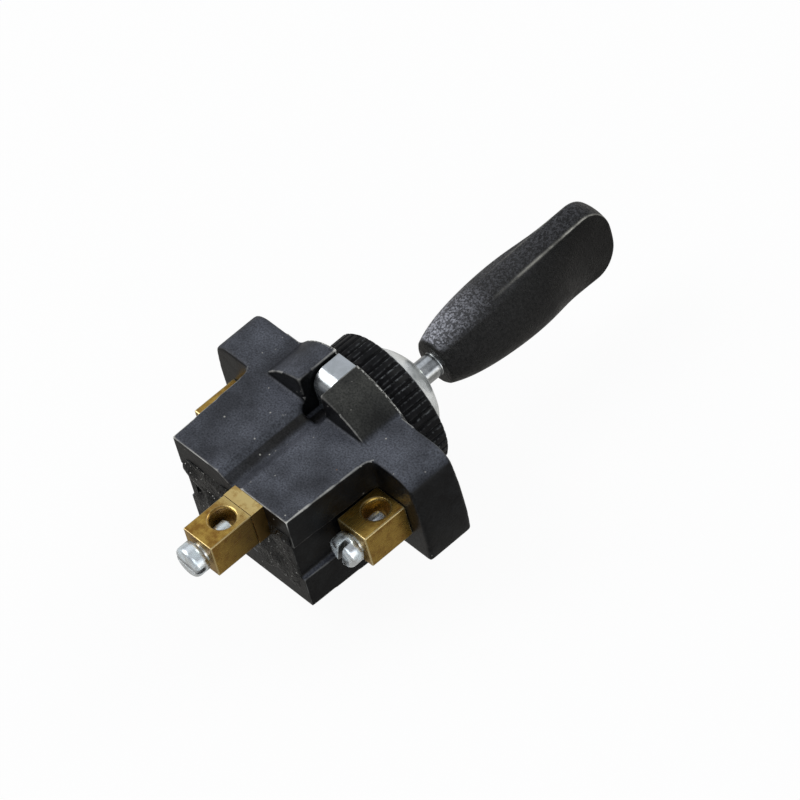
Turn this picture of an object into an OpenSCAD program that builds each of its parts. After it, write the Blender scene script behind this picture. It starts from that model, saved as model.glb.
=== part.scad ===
// Panel toggle switch for vehicle lights: a phenolic moulding behind the panel, a threaded
// neck through it, a knurled ring nut, and a paddle lever with centre and two side positions.
// The origin is on the neck's axis in the plane where the moulding meets the back of the panel.
// +Y runs into the space behind the panel, -Y towards the hand, +Z is up. Millimetres.

/* [Moulding] */
// Height of the rear block
block_h = 19.8; // [19.4:0.2:22]
// Depth of the moulding behind the panel
body_len = 25; // [24:0.5:30]
// Side wall of the hollow at the back face
side_wall = 2; // [1.6:0.1:2.2]
// Top and bottom wall of the hollow
top_wall = 3.9; // [3.7:0.1:4.1]
// Span across the two wings
wing_span = 46; // [44:0.2:50]
// Reach of each wing beyond the block's side
wing_reach = 9.3; // [9:0.1:10]
// Draft of each of the block's sides from the wings to the back face
block_draft = 0.7; // [0.3:0.1:0.9]
// Thickness of a wing from front to back
wing_t = 8.3; // [8:0.1:9]
// Step of the wing fronts behind the panel seat
wing_setback = 0.5; // [0.3:0.1:1]
// Step of the wing feet above the block's underside
wing_foot_step = 2.1; // [0.4:0.1:3]
// Radius of a wing's outer top edge
wing_r = 4.2; // [2:0.2:6]
// Radius of the gentle bulge of a wing's outer end
wing_end_r = 45; // [30:1:80]
// Fillet between a wing's back and the block's side
notch_r = 1.4; // [0.6:0.2:2]
// Diameter of the round boss that seats on the panel
boss_d = 29.8; // [29:0.2:33]
// Length of the round boss
boss_len = 7.7; // [7.4:0.1:8.5]
// Thickness of the hollow's roof under the saddle's leg
roof_t = 0.8; // [0.6:0.1:1]
// Width of the groove along the top of the block
groove_w = 5.8; // [5:0.2:7]
// Depth of the groove along the top of the block
groove_depth = 1.75; // [0.8:0.05:2]
// Height of the screwdriver channel in each side of the block
channel_h = 7.4; // [6.8:0.2:9]
// Depth of the screwdriver channel in each side of the block
channel_depth = 0.7; // [0.3:0.1:0.9]

/* [Neck and ring nut] */
// Outside diameter of the ring nut
ring_d = 23.8; // [22:0.1:27]
// Wall of the ring nut round the neck
ring_wall = 2.35; // [1.6:0.05:2.6]
// Length of the plain land that centres the neck in the panel's hole
land_len = 2; // [1.5:0.1:2.5]
// Step from the plain land down to the neck's thread
thread_step = 0.15; // [0.1:0.05:0.3]
// Length of the neck in front of the panel seat
neck_len = 5.6; // [5.6:0.1:8]
// Diameter of the neck's spigot inside the moulding
spigot_d = 16; // [15:0.1:16.4]
// Length of the spigot behind the panel seat
spigot_len = 3.8; // [3.6:0.1:4]
// Bore of the neck around the lever
neck_bore_d = 12.6; // [12.2:0.1:13]
// Length of the ring nut
ring_len = 5.3; // [3:0.1:5.3]
// Number of grip grooves round the ring nut
ring_grooves = 48; // [36:2:60]
// Diameter of a grip groove
ring_groove_d = 0.7; // [0.4:0.1:1]
// Height of the domed nose in front of the neck
nose_h = 5.35; // [4.6:0.05:6]
// Wall of the domed nose
nose_wall = 0.8; // [0.5:0.1:1]
// Wall of the neck round the nose's spigot
nose_rim = 0.85; // [0.6:0.05:1.2]
// Length of the nose's spigot in the neck
nose_spigot_len = 1.4; // [1:0.1:1.6]

/* [Fixing saddle] */
// Rim of the saddle's plate beyond the ring nut
saddle_rim = 0.1; // [0:0.1:0.8]
// Thickness of the saddle's plate
plate_t = 1; // [0.8:0.1:1.2]
// Thickness of the saddle's legs
saddle_t = 1.1; // [0.8:0.1:1.2]
// Width of the saddle's two legs
leg_w = 4; // [3:0.2:5]
// Height of a leg's outer face above the neck's axis
leg_rise = 14.1; // [13.6:0.1:14.4]
// Reach of a leg behind the panel seat
leg_reach = 5.7; // [5.5:0.1:6.2]

/* [Lever] */
// Depth of the pivot behind the panel seat
pivot_y = 2; // [1.8:0.1:2.1]
// Diameter of the pivot pin
pivot_d = 2.5; // [2:0.1:3]
// Swing of the lever to each side of its middle position in degrees
swing = 17; // [10:1:18]
// Diameter of the lever's stem
stem_d = 4; // [3.4:0.1:4.4]
// Diameter of the lever's tail, which carries the plunger
tail_d = 6; // [5.6:0.1:6.4]
// Length of the lever's tail behind the pivot
tail_len = 8.2; // [7.6:0.1:8.6]
// Depth of the plunger's bore in the tail
plunger_bore_len = 5.6; // [5:0.1:5.8]
// Length of the plunger inside the tail
plunger_grip = 2.4; // [2:0.1:3]
// Length of the stem inside the paddle
stem_bite = 10; // [6:0.5:14]
// Half angle of the dust shutter about the pivot
shutter_angle = 26; // [20:1:26]
// Thickness of the dust shutter
shutter_t = 0.5; // [0.4:0.1:0.6]
// Free stem between the nose and the paddle
stem_show = 3.05; // [2:0.05:6]
// Length of the paddle
paddle_len = 34.9; // [30:0.1:44]
// Diameter of the paddle's base
paddle_base_d = 7.6; // [7:0.1:9]
// Width of the paddle's flare at its tip
paddle_w = 14.5; // [12.4:0.1:17]
// Thickness of the paddle at its tip, which is the width of the band between its sides
paddle_tip_t = 4.3; // [3.4:0.1:5.4]
// Distance from the paddle's base to where its sides are half way from round to flat
thin_at = 23.5; // [20:0.1:26]
// Length over which the paddle's sides flatten, as the softness of the curve
thin_soft = 3.2; // [2.4:0.1:4]

/* [Contacts] */
// Radius of the contact track about the pivot
track_r = 15; // [14.6:0.1:15.4]
// Thickness of the contact metal
contact_t = 0.8; // [0.6:0.1:0.8]
// Height of each contact track
track_h = 3.8; // [3:0.1:3.9]
// Gap between the upper and lower tracks
track_gap = 1.2; // [1:0.1:1.4]
// Diameter of the roller
roller_d = 4; // [3.4:0.1:4.4]
// Diameter of the roller's journals
journal_d = 1.2; // [0.8:0.1:1.4]
// Diameter of the plunger in the lever's tail
plunger_d = 4; // [3.6:0.1:4.2]
// Thickness of the yoke's bar
yoke_t = 1.2; // [0.9:0.1:1.3]
// Thickness of the yoke's arms
arm_t = 1; // [0.7:0.1:1]
// Wire of the plunger's spring
spring_wire = 0.5; // [0.4:0.05:0.6]
// Turns of the plunger's spring
spring_turns = 4; // [3:1:5]
// Depth of the side contacts' cross strips below the wings' backs
cross_depth = 3.2; // [2.6:0.1:3.6]
// Gap between a side contact's strip and the wall of the hollow
strip_gap = 0.9; // [0.7:0.1:1.1]
// Width of the common contact's tail
tail_strip_w = 3.2; // [2.4:0.1:4]
// Wall of the contact block behind the tracks
block_wall = 4; // [3:0.1:4.5]

/* [Terminals] */
// Side of a square terminal
terminal_w = 6.35; // [6:0.05:6.6]
// Length of a terminal
terminal_len = 8.05; // [7.8:0.05:9]
// Diameter of a terminal's wire hole
wire_d = 4; // [3:0.1:4.2]
// Distance of the wire hole from the terminal's screw end
wire_from_end = 5; // [4.6:0.1:5.2]
// Chamfer at each mouth of the wire hole
wire_chamfer = 0.3; // [0.1:0.05:0.5]
// Diameter of a clamp screw's shank
screw_d = 3.4; // [2.8:0.1:3.6]
// Diameter of a clamp screw's head
head_d = 5.5; // [5:0.1:5.8]
// Height of a clamp screw's head
head_h = 2.4; // [1.6:0.1:2.6]
// Width of a clamp screw's slot
slot_w = 0.9; // [0.6:0.1:1.2]
// Gap left under a clamp screw's head
head_gap = 0.6; // [0.4:0.1:1]
// Distance of each side terminal from its wing's end
terminal_inset = 6.6; // [5:0.1:6.8]
// Distance of the rear terminal from the middle, towards the right side
rear_terminal_x = -4.6; // [-5.4:0.1:-3.6]
// Step of the rear terminal's top below the block's top
rear_terminal_drop = 0.2; // [0.1:0.1:0.6]
// Length of the rear terminal's shank between the block and the terminal
shank_len = 2.3; // [1.5:0.1:4]
// Diameter of the studs that hold the terminals
stud_d = 3.2; // [2.6:0.1:3.4]
// Reach of a stud into its terminal
stud_bite = 0.8; // [0.4:0.1:0.9]

/* [Fits] */
// Clearance of a seated piece
seat_gap = 0.03; // [0.02:0.01:0.05]
// Radial clearance of a turning or sliding fit
run_gap = 0.05; // [0.03:0.01:0.08]
// Clearance between pieces that pass each other
free_gap = 0.3; // [0.25:0.05:0.35]

/* [Hidden] */
$fn = 64;
eps = 0.01;
// Moulding
block_w_front = wing_span - 2 * wing_reach;
block_w_back = block_w_front - 2 * block_draft;
top_z = block_h / 2;
foot_z = wing_foot_step - top_z;
wing_back = wing_setback + wing_t;
cavity_w = block_w_back - 2 * side_wall;
cavity_h = block_h - 2 * top_wall;
pit_floor = cavity_h / 2 + roof_t;
// Neck, nose and saddle
land_d = ring_d - 2 * (ring_wall + run_gap);
thread_d = land_d - 2 * thread_step;
saddle_d = ring_d + 2 * saddle_rim;
nose_base_r = thread_d / 2;
nose_ball_r = (nose_base_r * nose_base_r + nose_h * nose_h) / (2 * nose_h);
nose_ball_y = nose_ball_r - nose_h - neck_len;
nose_spigot_d = thread_d - 2 * nose_rim;
shutter_far = swing + shutter_angle;
shutter_off = pivot_y - nose_ball_y;
shutter_room = sqrt(pow(nose_ball_r - nose_wall, 2) - pow(shutter_off * sin(shutter_far), 2));
shutter_r = shutter_off * cos(shutter_far) + shutter_room - free_gap - 2 * seat_gap;
leg_bend_r = 2.4 * saddle_t;
leg_bend_y = leg_reach - leg_bend_r;
leg_bend_z = leg_rise - leg_bend_r;
leg_slot_w = leg_w + 2 * free_gap;
leg_slot_back = leg_reach - saddle_t - free_gap;
// Lever
paddle_y = -(neck_len + nose_h + stem_show);
hub_d = tail_d + 1.8;
hub_h = tail_d + 0.8;
tail_end = pivot_y + tail_len;
tail_floor = tail_end - plunger_bore_len;
// Contacts
track_z = track_gap / 2;
track_top = track_z + track_h;
roller_r = track_r - free_gap - roller_d / 2;
roller_len = 2 * track_top + 0.2;
arm_z = roller_len / 2 + run_gap;
yoke_y = roller_r - roller_d / 2 - yoke_t - free_gap;
block_back = pivot_y + track_r + contact_t + block_wall;
strip_x = cavity_w / 2 - contact_t - strip_gap;
cross_y = wing_back - cross_depth;
tail_strip_y = pivot_y + sqrt(pow(track_r + contact_t / 2, 2) - pow(rear_terminal_x + tail_strip_w / 2, 2));
// Terminals
side_terminal_x = wing_span / 2 - terminal_inset;
side_terminal_y = wing_back + seat_gap;
rear_terminal_z = top_z - rear_terminal_drop - terminal_w / 2;
rear_terminal_y = body_len + shank_len + 2 * seat_gap;
screw_reach = wire_from_end + sqrt(wire_d * wire_d - screw_d * screw_d) / 2 - 0.1;

// Turns a shape drawn along +Z to lie along +Y from the plane y.
module along_y(y = 0) {
  translate([0, y, 0])
    rotate([-90, 0, 0])
      children();
}

// Places a copy on each side of the middle plane.
module both_sides() {
  children();
  mirror([1, 0, 0])
    children();
}

// Places a copy above and below the neck's axis.
module both_legs() {
  children();
  mirror([0, 0, 1])
    children();
}

// A box given by its lowest and highest corners.
module span(low, high) {
  translate(low)
    cube(high - low);
}

// Outline of the rear block seen from above: straight between the wings, then drafted to the back.
module block_plan() {
  polygon([[-block_w_front / 2, wing_setback], [block_w_front / 2, wing_setback],
    [block_w_front / 2, wing_back], [block_w_back / 2, body_len],
    [-block_w_back / 2, body_len], [-block_w_front / 2, wing_back]]);
}

// Outline of the wings seen from the front, with rounded upper ends and sharp feet.
module wing_outline() {
  intersection() {
    union() {
      translate([-wing_span / 2, foot_z])
        square([wing_span, top_z - foot_z - wing_r]);
      translate([-wing_span / 2 + wing_r, foot_z])
        square([wing_span - 2 * wing_r, top_z - foot_z]);
      for (side = [-1, 1])
        translate([side * (wing_span / 2 - wing_r), top_z - wing_r])
          circle(wing_r);
    }
    translate([wing_span / 2 - wing_end_r, 0])
      circle(wing_end_r, $fn = 180);
    translate([wing_end_r - wing_span / 2, 0])
      circle(wing_end_r, $fn = 180);
  }
}

// Fillet in plan between a wing's back and the block's side.
module notch_fillet() {
  difference() {
    translate([block_w_front / 2 - 0.2, wing_back - 0.2])
      square(notch_r + 0.2);
    translate([block_w_front / 2 + notch_r, wing_back + notch_r])
      circle(notch_r);
  }
}

// Space for a saddle leg: a shallow slot over the boss and a deep pit behind the bend.
module leg_space() {
  top = leg_rise - saddle_t - seat_gap;
  front = leg_slot_back - (top - leg_bend_z);
  span([-leg_slot_w / 2, -1, top], [leg_slot_w / 2, boss_len + 1, boss_d / 2 + 1]);
  span([-leg_slot_w / 2, leg_slot_back, pit_floor], [leg_slot_w / 2, boss_len + 1, boss_d / 2 + 1]);
  translate([-leg_slot_w / 2, 0, 0])
    rotate([90, 0, 90])
      linear_extrude(leg_slot_w)
        polygon([[leg_slot_back, leg_bend_z], [leg_slot_back + 0.5, leg_bend_z], [leg_slot_back + 0.5, top + 0.5],
          [front, top + 0.5], [front, top]]);
}

// Space for a side contact's cross strip and stud in a wing.
module cross_space() {
  span([cavity_w / 2 - 1, cross_y - seat_gap, -track_top - seat_gap],
    [side_terminal_x + stud_d / 2 + seat_gap, cross_y + contact_t + seat_gap, stud_d / 2 + seat_gap]);
  translate([side_terminal_x, 0, 0])
    along_y(cross_y)
      cylinder(h = wing_back - cross_y + 1, d = stud_d + 2 * seat_gap);
}

module body_moulding() {
  color("#26272b")
    difference() {
      union() {
        translate([0, 0, -top_z])
          linear_extrude(block_h)
            block_plan();
        translate([0, wing_back, 0])
          rotate([90, 0, 0])
            linear_extrude(wing_t)
              wing_outline();
        both_sides()
          translate([0, 0, foot_z])
            linear_extrude(top_z - foot_z)
              notch_fillet();
        along_y(0)
          cylinder(h = boss_len, d = boss_d, $fn = 96);
      }
      along_y(-1)
        cylinder(h = 1 + plate_t, d = saddle_d + 2 * seat_gap, $fn = 96);
      along_y(-1)
        cylinder(h = 1 + spigot_len + eps, d = spigot_d + 2 * run_gap);
      span([-cavity_w / 2, spigot_len, -cavity_h / 2], [cavity_w / 2, body_len + 1, cavity_h / 2]);
      both_legs()
        leg_space();
      both_legs()
        span([-leg_slot_w / 2, -1, 0], [leg_slot_w / 2, plate_t, boss_d / 2 + 1]);
      both_sides()
        cross_space();
      both_sides()
        span([block_w_back / 2 - channel_depth, wing_back, -channel_h / 2],
          [block_w_front, body_len + 1, channel_h / 2]);
      translate([0, body_len + 1, top_z])
        rotate([90, 0, 0])
          linear_extrude(body_len + 1 - boss_len + eps)
            polygon([[-groove_w / 2, 0], [-groove_w / 2, 1], [groove_w / 2, 1], [groove_w / 2, 0],
              [0, -groove_depth]]);
    }
}

// One leg of the saddle: up the front, back over the boss and down behind it with a rounded bend.
module saddle_leg() {
  span([-leg_w / 2, 0, spigot_d / 2 + 1], [leg_w / 2, plate_t, leg_rise]);
  span([-leg_w / 2, 0, leg_rise - saddle_t], [leg_w / 2, leg_bend_y, leg_rise]);
  span([-leg_w / 2, leg_reach - saddle_t, pit_floor + seat_gap], [leg_w / 2, leg_reach, leg_bend_z]);
  intersection() {
    translate([-leg_w / 2, leg_bend_y, leg_bend_z])
      rotate([0, 90, 0])
        difference() {
          cylinder(h = leg_w, r = leg_bend_r);
          translate([0, 0, -1])
            cylinder(h = leg_w + 2, r = leg_bend_r - saddle_t);
        }
    span([-leg_w, leg_bend_y, leg_bend_z], [leg_w, leg_reach + 1, leg_rise + 1]);
  }
}

module fixing_saddle() {
  color("#c9ccd0")
    difference() {
      union() {
        along_y(0)
          cylinder(h = plate_t, d = saddle_d, $fn = 96);
        both_legs()
          saddle_leg();
      }
      along_y(-1)
        cylinder(h = plate_t + 2, d = spigot_d + 2 * seat_gap);
    }
}

module neck_bush() {
  color("#c4a25a")
    difference() {
      union() {
        along_y(-neck_len)
          cylinder(h = neck_len, d = thread_d, $fn = 96);
        along_y(-land_len)
          cylinder(h = land_len, d = land_d, $fn = 96);
        along_y(-eps)
          cylinder(h = spigot_len + eps, d = spigot_d);
      }
      along_y(-neck_len - 1)
        cylinder(h = neck_len + spigot_len + 2, d = neck_bore_d);
      along_y(-neck_len - 1)
        cylinder(h = 1 + nose_spigot_len + seat_gap, d = nose_spigot_d + 2 * seat_gap);
      translate([0, pivot_y, -spigot_d])
        cylinder(h = 2 * spigot_d, d = pivot_d + 2 * seat_gap);
    }
}

// Half section of the nose: a spherical shell on a short spigot. x is the radius, y the height.
module nose_section() {
  steps = 14;
  rim = asin(nose_base_r / nose_ball_r);
  inner_r = nose_ball_r - nose_wall;
  inner_rim = asin((nose_spigot_d / 2 - nose_wall) / inner_r);
  foot = nose_ball_r - nose_h;
  polygon(concat(
    [for (i = [0:steps]) nose_ball_r * [sin(rim * i / steps), cos(rim * i / steps)]],
    [[nose_spigot_d / 2, foot], [nose_spigot_d / 2, foot - nose_spigot_len],
      [nose_spigot_d / 2 - nose_wall, foot - nose_spigot_len]],
    [for (i = [steps:-1:0]) inner_r * [sin(inner_rim * i / steps), cos(inner_rim * i / steps)]]));
}

module nose_cap() {
  slot_reach = (nose_ball_r + shutter_off) * sin(swing) + stem_d / 2 / cos(swing) + free_gap;
  slot_d = stem_d + 2 * free_gap;
  color("#d7d8d6")
    difference() {
      translate([0, nose_ball_y - seat_gap, 0])
        rotate([90, 0, 0])
          rotate_extrude($fn = 96)
            nose_section();
      span([-slot_reach + slot_d / 2, paddle_y, -slot_d / 2], [slot_reach - slot_d / 2, 0, slot_d / 2]);
      both_sides()
        translate([slot_reach - slot_d / 2, 0, 0])
          along_y(paddle_y)
            cylinder(h = -paddle_y, d = slot_d);
    }
}

module ring_nut() {
  chamfer = 0.4;
  inner_r = land_d / 2 + run_gap;
  color("#1b1c1f")
    difference() {
      along_y(-ring_len - 0.2)
        rotate_extrude($fn = 120)
          polygon([[inner_r, 0], [ring_d / 2 - chamfer, 0], [ring_d / 2, chamfer], [ring_d / 2, ring_len - chamfer],
            [ring_d / 2 - chamfer, ring_len], [inner_r, ring_len]]);
      for (i = [0:ring_grooves - 1])
        rotate([0, i * 360 / ring_grooves, 0])
          translate([ring_d / 2, 0, 0])
            along_y(-ring_len - 1)
              cylinder(h = ring_len + 2, d = ring_groove_d, $fn = 16);
    }
}

module pivot_pin() {
  color("#b9bcc0")
    translate([0, pivot_y, -spigot_d / 2 + 0.1])
      cylinder(h = spigot_d - 0.2, d = pivot_d);
}

module lever_stem() {
  color("#cfd1d3")
    difference() {
      union() {
        along_y(paddle_y - stem_bite)
          cylinder(h = pivot_y - paddle_y + stem_bite, d = stem_d);
        along_y(pivot_y)
          cylinder(h = tail_end - pivot_y, d = tail_d);
        translate([0, pivot_y, -hub_h / 2])
          cylinder(h = hub_h, d = hub_d);
      }
      translate([0, pivot_y, -tail_d])
        cylinder(h = 2 * tail_d, d = pivot_d + 2 * run_gap);
      along_y(tail_floor)
        cylinder(h = tail_end, d = plunger_d + 2 * run_gap);
    }
}

// Point at a radius and an angle from the height axis.
function on_arc(r, a) = r * [sin(a), cos(a)];

// Dished shutter pressed on the stem, which closes the nose's slot from inside.
module dust_shutter() {
  steps = 10;
  hole_r = stem_d / 2 + seat_gap;
  inner_r = shutter_r - shutter_t;
  outer_from = asin(hole_r / shutter_r);
  inner_from = asin(hole_r / inner_r);
  outer_step = (shutter_angle - outer_from) / steps;
  inner_step = (shutter_angle - inner_from) / steps;
  color("#d7d8d6")
    translate([0, pivot_y, 0])
      rotate([90, 0, 0])
        rotate_extrude($fn = 96)
          polygon(concat(
            [for (i = [0:steps]) on_arc(shutter_r, outer_from + outer_step * i)],
            [for (i = [steps:-1:0]) on_arc(inner_r, inner_from + inner_step * i)]));
}

// Radius of the paddle's turned form at the distance s from its base.
function paddle_r(s) =
  let (tip_len = 5)
  let (tip_drop = paddle_w / 2 - 1.9)
  let (flare = 0.66 * (1 - exp(-s / 5.2)) + 0.34 * s / paddle_len)
  let (k = max(0, s - paddle_len + tip_len) / tip_len)
  let (end = 1 - sqrt(max(0, 1 - pow(k, 2.2))))
  paddle_base_d / 2 + (paddle_w - paddle_base_d) / 2 * flare - tip_drop * end;

// Share of the round that the paddle's sides keep at the distance s from its base: 1 is round and 0 is flat.
function paddle_side(s) = 1 / (1 + exp((s - thin_at) / thin_soft));

// One section of the paddle, a circle of radius r whose sides beyond the band are drawn in.
function paddle_ring(s, r) =
  let (edge = acos(min(0.95, paddle_tip_t / 2 / r)))
  let (side = [for (i = [0:13]) edge * (i / 7 - 1)])
  let (band = [for (i = [0:5]) edge + (180 - 2 * edge) * i / 6])
  [for (a = concat(side, band, [for (b = side) b + 180], [for (b = band) b + 180]))
    let (x = r * cos(a))
    let (over = max(0, abs(x) - paddle_tip_t / 2))
    [sign(x) * (abs(x) - (1 - paddle_side(s)) * over), paddle_y - s, r * sin(a)]];

// A loft through the paddle's sections, from its rounded base to its tip.
module lever_paddle() {
  steps = 34;
  base_r = 0.7;
  ends = [for (i = [0:steps]) paddle_len * (1 - pow(1 - i / steps, 1.6))];
  rings = concat([paddle_ring(0, paddle_base_d / 2 - base_r)],
    [for (s = ends) if (s > base_r) paddle_ring(s, paddle_r(s))]);
  n = len(rings[0]);
  last = len(rings) - 1;
  color("#2a2b2d")
    difference() {
      polyhedron(
        points = [for (ring = rings) each ring],
        faces = concat(
          [[for (j = [0:n - 1]) j]],
          [for (i = [0:last - 1], j = [0:n - 1]) [i * n + j, i * n + n + j, i * n + n + (j + 1) % n]],
          [for (i = [0:last - 1], j = [0:n - 1]) [i * n + j, i * n + n + (j + 1) % n, i * n + (j + 1) % n]],
          [[for (j = [n - 1:-1:0]) last * n + j]]));
      along_y(paddle_y - stem_bite - seat_gap)
        cylinder(h = stem_bite + 1, d = stem_d + 2 * seat_gap);
    }
}

module plunger_spring() {
  low = tail_floor + seat_gap + spring_wire / 2;
  high = tail_end - plunger_grip - seat_gap - spring_wire / 2;
  coil_r = plunger_d / 2 - spring_wire / 2 - 0.1;
  steps = spring_turns * 16;
  color("#9a9da1")
    for (i = [0:steps - 1])
      hull()
        for (k = [i, i + 1])
          translate([0, low + (high - low) * k / steps, 0])
            rotate([0, k * 360 / 16, 0])
              translate([coil_r, 0, 0])
                sphere(d = spring_wire, $fn = 8);
}

module plunger_yoke() {
  reach = pivot_y + roller_r;
  outer_z = arm_z + arm_t;
  color("#7a4a2a")
    difference() {
      union() {
        along_y(tail_end - plunger_grip)
          cylinder(h = pivot_y + yoke_y - tail_end + plunger_grip + yoke_t / 2, d = plunger_d);
        span([-roller_d / 2, pivot_y + yoke_y, -outer_z], [roller_d / 2, pivot_y + yoke_y + yoke_t, outer_z]);
        both_legs()
          span([-journal_d, pivot_y + yoke_y, arm_z], [journal_d, reach + journal_d, outer_z]);
      }
      translate([0, reach, -outer_z - 1])
        cylinder(h = 2 * outer_z + 2, d = journal_d + 2 * run_gap, $fn = 32);
    }
}

module contact_roller() {
  color("#c9a04e")
    translate([0, pivot_y + roller_r, 0]) {
      translate([0, 0, -roller_len / 2])
        cylinder(h = roller_len, d = roller_d);
      translate([0, 0, -arm_z - arm_t])
        cylinder(h = 2 * (arm_z + arm_t), d = journal_d, $fn = 32);
    }
}

// A curved contact track about the pivot between two angles, measured from +Y towards +X.
module track(from, to, low_z) {
  translate([0, pivot_y, low_z])
    rotate([0, 0, 90 - to])
      rotate_extrude(angle = to - from, $fn = 96)
        translate([track_r, 0])
          square([contact_t, track_h]);
}

module contact_block() {
  bed_r = track_r + contact_t + seat_gap;
  color("#3a2b20")
    difference() {
      span([-cavity_w / 2 + seat_gap, pivot_y + track_r / 2, -cavity_h / 2 + seat_gap],
        [cavity_w / 2 - seat_gap, block_back, cavity_h / 2 - seat_gap]);
      translate([0, pivot_y, -cavity_h])
        cylinder(h = 2 * cavity_h, r = bed_r, $fn = 96);
      span([rear_terminal_x - tail_strip_w / 2 - seat_gap, 0, track_top - contact_t - seat_gap],
        [rear_terminal_x + tail_strip_w / 2 + seat_gap, body_len, track_top + seat_gap]);
    }
}

module common_contact() {
  color("#c7a048") {
    track(-30, 30, track_z);
    span([rear_terminal_x - tail_strip_w / 2, tail_strip_y, track_top - contact_t],
      [rear_terminal_x + tail_strip_w / 2, body_len + shank_len, track_top]);
    translate([rear_terminal_x, body_len + seat_gap + shank_len / 2, rear_terminal_z])
      cube([terminal_w, shank_len, terminal_w], center = true);
    translate([rear_terminal_x, 0, rear_terminal_z])
      along_y(body_len + shank_len / 2)
        cylinder(h = shank_len / 2 + 2 * seat_gap + stud_bite, d = stud_d);
  }
}

// Contact of the side towards +X: a track, a strip along the wall, a cross strip and a stud.
module side_contact() {
  far = asin((strip_x + contact_t / 2) / (track_r + contact_t / 2));
  far_y = pivot_y + (track_r + contact_t / 2) * cos(far);
  color("#c7a048") {
    track(10, far, -track_top);
    span([strip_x, cross_y, -track_top], [strip_x + contact_t, far_y, -track_z]);
    span([strip_x, cross_y, -track_top], [side_terminal_x + stud_d / 2, cross_y + contact_t, stud_d / 2]);
    translate([side_terminal_x, 0, 0])
      along_y(cross_y)
        cylinder(h = side_terminal_y + stud_bite - cross_y, d = stud_d);
  }
}

module left_contact() {
  side_contact();
}

module right_contact() {
  mirror([1, 0, 0])
    side_contact();
}

module sealing_compound() {
  color("#151516")
    difference() {
      span([-cavity_w / 2 + seat_gap, block_back + seat_gap, -cavity_h / 2 + seat_gap],
        [cavity_w / 2 - seat_gap, body_len - 0.1, cavity_h / 2 - seat_gap]);
      span([rear_terminal_x - tail_strip_w / 2 - seat_gap, 0, track_top - contact_t - seat_gap],
        [rear_terminal_x + tail_strip_w / 2 + seat_gap, body_len, track_top + seat_gap]);
    }
}

// Square clamp terminal from its seat at y towards +Y: an upright wire hole, a screw hole and a stud hole.
module clamp_terminal(x, y, z) {
  wire_y = terminal_len - wire_from_end;
  color("#b8923f")
    translate([x, y, z])
      difference() {
        translate([-terminal_w / 2, 0, -terminal_w / 2])
          cube([terminal_w, terminal_len, terminal_w]);
        translate([0, wire_y, -terminal_w])
          cylinder(h = 2 * terminal_w, d = wire_d);
        both_legs()
          translate([0, wire_y, terminal_w / 2 - wire_chamfer])
            cylinder(h = wire_chamfer + eps, d1 = wire_d, d2 = wire_d + 2 * (wire_chamfer + eps));
        along_y(wire_y)
          cylinder(h = wire_from_end + 1, d = screw_d + 2 * run_gap);
        along_y(-1)
          cylinder(h = 1 + stud_bite + 2 * seat_gap, d = stud_d + 2 * seat_gap);
      }
}

module rear_terminal() {
  clamp_terminal(rear_terminal_x, rear_terminal_y, rear_terminal_z);
}

module left_terminal() {
  clamp_terminal(side_terminal_x, side_terminal_y, 0);
}

module right_terminal() {
  clamp_terminal(-side_terminal_x, side_terminal_y, 0);
}

// Slotted cheese-head clamp screw in a terminal seated at y, with its slot turned from upright.
module clamp_screw(x, y, z, slot_turn) {
  edge = 0.35;
  slot_depth = head_h / 2;
  color("#d2d5d8")
    translate([x, y + terminal_len, z]) {
      along_y(-screw_reach)
        cylinder(h = screw_reach + head_gap + eps, d = screw_d);
      along_y(head_gap)
        difference() {
          rotate_extrude()
            polygon([[0, 0], [head_d / 2, 0], [head_d / 2, head_h - edge], [head_d / 2 - edge, head_h], [0, head_h]]);
          rotate([0, 0, slot_turn])
            translate([-slot_w / 2, -head_d, head_h - slot_depth])
              cube([slot_w, 2 * head_d, slot_depth + 1]);
        }
    }
}

module rear_screw() {
  clamp_screw(rear_terminal_x, rear_terminal_y, rear_terminal_z, 84);
}

module left_screw() {
  clamp_screw(side_terminal_x, side_terminal_y, 0, 40);
}

module right_screw() {
  clamp_screw(-side_terminal_x, side_terminal_y, 0, -18);
}

body_moulding();
fixing_saddle();
neck_bush();
nose_cap();
ring_nut();
pivot_pin();
lever_stem();
dust_shutter();
lever_paddle();
plunger_spring();
plunger_yoke();
contact_roller();
contact_block();
common_contact();
left_contact();
right_contact();
sealing_compound();
rear_terminal();
left_terminal();
right_terminal();
rear_screw();
left_screw();
right_screw();
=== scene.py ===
"""Panel toggle switch for lights, seen from behind and above, in Blender."""
import bmesh
import bpy
import numpy as np
from mathutils import Matrix, Vector


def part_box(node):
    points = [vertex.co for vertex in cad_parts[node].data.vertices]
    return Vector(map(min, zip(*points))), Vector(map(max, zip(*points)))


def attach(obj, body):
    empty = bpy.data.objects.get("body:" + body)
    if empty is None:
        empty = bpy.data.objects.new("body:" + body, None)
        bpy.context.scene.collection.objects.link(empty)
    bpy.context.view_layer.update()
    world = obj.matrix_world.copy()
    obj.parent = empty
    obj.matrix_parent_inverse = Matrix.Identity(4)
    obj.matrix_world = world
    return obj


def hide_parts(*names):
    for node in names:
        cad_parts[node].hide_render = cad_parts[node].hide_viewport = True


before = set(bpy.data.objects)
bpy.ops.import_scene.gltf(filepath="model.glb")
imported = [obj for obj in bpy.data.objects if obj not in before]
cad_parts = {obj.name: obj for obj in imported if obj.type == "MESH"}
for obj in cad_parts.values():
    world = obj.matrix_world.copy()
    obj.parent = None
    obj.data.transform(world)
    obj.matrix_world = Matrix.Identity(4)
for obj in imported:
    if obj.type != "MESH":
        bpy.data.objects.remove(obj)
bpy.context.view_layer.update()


# Body moulding: one compression moulding in black phenolic, with a block, two wings and a round boss.
# Its edges come out of the mould slightly rounded, and its skin is satin with dust and small flow marks.
# Everything else is fixed in it or on it.
MM = 0.001
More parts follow.
